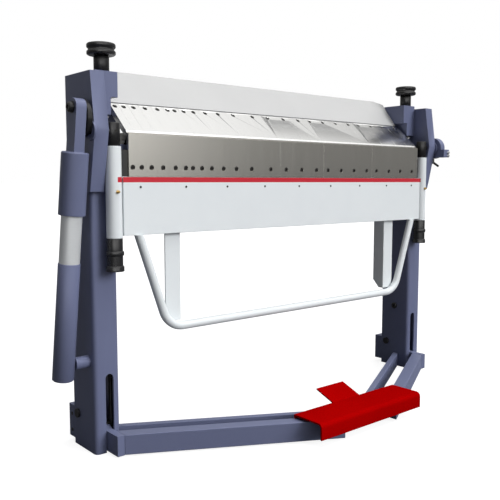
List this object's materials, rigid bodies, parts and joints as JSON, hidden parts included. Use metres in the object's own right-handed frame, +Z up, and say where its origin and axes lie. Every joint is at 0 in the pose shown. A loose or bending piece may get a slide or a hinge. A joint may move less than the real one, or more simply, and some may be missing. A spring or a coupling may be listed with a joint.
{
  "type": "sheet metal brake",
  "caption": "Floor-standing box and pan sheet metal brake with segmented fingers, folding leaf with pull handle, treadle-worked clamp beam and a telescopic balance strut.",
  "frame": {"origin": "middle of the underside of the machine's bounding box, on the floor", "axes": "+X along the folding line to the operator's right, +Y away from the operator, +Z up"},
  "size_m": [1.6132, 0.535, 1.1185],
  "materials": {
    "frame_paint": "slate blue semi-gloss paint with a light orange peel",
    "panel_paint": "light grey semi-gloss paint",
    "leaf_paint": "off-white gloss paint",
    "blade_steel": "brushed tool steel",
    "ground_steel": "bright ground tool steel",
    "black_steel": "blackened steel, satin",
    "pedal_paint": "red gloss paint",
    "zinc_plate": "bright zinc plate"
  },
  "bodies": {
    "frame": {"column_left": "frame_paint", "column_right": "frame_paint", "rear_block_left": "frame_paint", "rear_block_right": "frame_paint", "cheek_left": "frame_paint", "cheek_right": "frame_paint", "bed_beam": "frame_paint", "bed_blade": "ground_steel", "floor_brace_left": "frame_paint", "floor_brace_right": "frame_paint", "brace_foot": "panel_paint", "treadle_pivot_left": "black_steel", "treadle_pivot_right": "black_steel", "lift_spring_left": "zinc_plate", "lift_spring_right": "zinc_plate"},
    "clamp": {"finger_01": "ground_steel", "finger_02": "ground_steel", "finger_03": "ground_steel", "finger_04": "ground_steel", "finger_05": "ground_steel", "finger_06": "ground_steel", "finger_07": "ground_steel", "finger_08": "ground_steel", "finger_09": "ground_steel", "finger_10": "ground_steel", "finger_11": "ground_steel", "finger_12": "ground_steel", "clamp_beam": "frame_paint", "clamp_panel": "panel_paint", "beam_bracket_left": "frame_paint", "beam_bracket_right": "frame_paint", "screw_sleeve_left": "black_steel", "screw_sleeve_right": "black_steel", "pull_rod_left": "zinc_plate", "pull_rod_right": "zinc_plate"},
    "knob_left": {"knob_left": "black_steel"},
    "knob_right": {"knob_right": "black_steel"},
    "treadle": {"treadle_arm_left": "frame_paint", "treadle_arm_right": "frame_paint", "treadle_bar_left": "frame_paint", "treadle_bar_right": "frame_paint", "treadle_crossbar": "frame_paint", "pedal": "pedal_paint"},
    "leaf_carrier": {"hinge_block_left": "black_steel", "hinge_block_right": "black_steel", "crank_disc": "black_steel"},
    "leaf": {"leaf_beam": "leaf_paint", "leaf_blade": "blade_steel", "leaf_tube_left": "leaf_paint", "leaf_tube_right": "leaf_paint", "handle_leg_left": "leaf_paint", "handle_leg_right": "leaf_paint", "pull_handle": "leaf_paint"},
    "height_nut_left": {"height_nut_left": "black_steel"},
    "height_nut_right": {"height_nut_right": "black_steel"},
    "strut_foot": {"strut_tube": "frame_paint"},
    "strut_head": {"strut_sleeve": "frame_paint"},
    "angle_stop": {"stop_collar": "frame_paint"},
    "stop_lever": {"stop_lever": "black_steel"}
  },
  "joints": [
    {"name": "clamp_slide", "type": "slide", "parent": "frame", "child": "clamp", "axis": [0, 0, 1], "range_m": [0, 0.047], "deforming": ["lift_spring_left", "lift_spring_right"]},
    {"name": "treadle_hinge", "type": "hinge", "parent": "frame", "child": "treadle", "pos_m": [0.02275, 0.20752, 0.095], "axis": [-1, 0, 0], "range_deg": [0, 36.35]},
    {"name": "knob_left_turn", "type": "hinge", "parent": "clamp", "child": "knob_left", "pos_m": [-0.64225, 0.14752, 1.0865], "axis": [0, 0, 1], "continuous": true},
    {"name": "knob_right_turn", "type": "hinge", "parent": "clamp", "child": "knob_right", "pos_m": [0.68775, 0.14752, 1.0865], "axis": [0, 0, 1], "continuous": true},
    {"name": "leaf_hinge", "type": "hinge", "parent": "frame", "child": "leaf_carrier", "pos_m": [0.02275, 0.07252, 0.88], "axis": [-1, 0, 0], "range_deg": [0, 135]},
    {"name": "leaf_height", "type": "slide", "parent": "leaf_carrier", "child": "leaf", "axis": [0, 0, 1], "range_m": [-0.01, 0]},
    {"name": "height_nut_left_turn", "type": "hinge", "parent": "leaf", "child": "height_nut_left", "pos_m": [-0.65225, 0.07552, 0.509], "axis": [0, 0, 1], "continuous": true},
    {"name": "height_nut_right_turn", "type": "hinge", "parent": "leaf", "child": "height_nut_right", "pos_m": [0.69775, 0.07552, 0.509], "axis": [0, 0, 1], "continuous": true},
    {"name": "strut_swing", "type": "hinge", "parent": "frame", "child": "strut_foot", "pos_m": [-0.77625, 0.14152, 0.258], "axis": [-1, 0, 0], "range_deg": [0, 3.02]},
    {"name": "strut_telescope", "type": "slide", "parent": "strut_foot", "child": "strut_head", "axis": [0.0352, -0.1012, 0.9942], "range_m": [-0.0989, 0]},
    {"name": "angle_stop_turn", "type": "hinge", "parent": "frame", "child": "angle_stop", "pos_m": [0.76075, 0.07252, 0.88], "axis": [-1, 0, 0], "range_deg": [0, 120]},
    {"name": "stop_lever_turn", "type": "hinge", "parent": "angle_stop", "child": "stop_lever", "pos_m": [0.77955, 0.07652, 0.84], "axis": [0, 0, 1], "range_deg": [-60, 60]}
  ],
  "couplings": [
    {"joint": "treadle_hinge", "follows": "clamp_slide", "rad_per_m": 13.425},
    {"joint": "strut_swing", "follows": "leaf_hinge", "ratio": 0.021636},
    {"joint": "strut_telescope", "follows": "leaf_hinge", "m_per_rad": -0.041745}
  ]
}
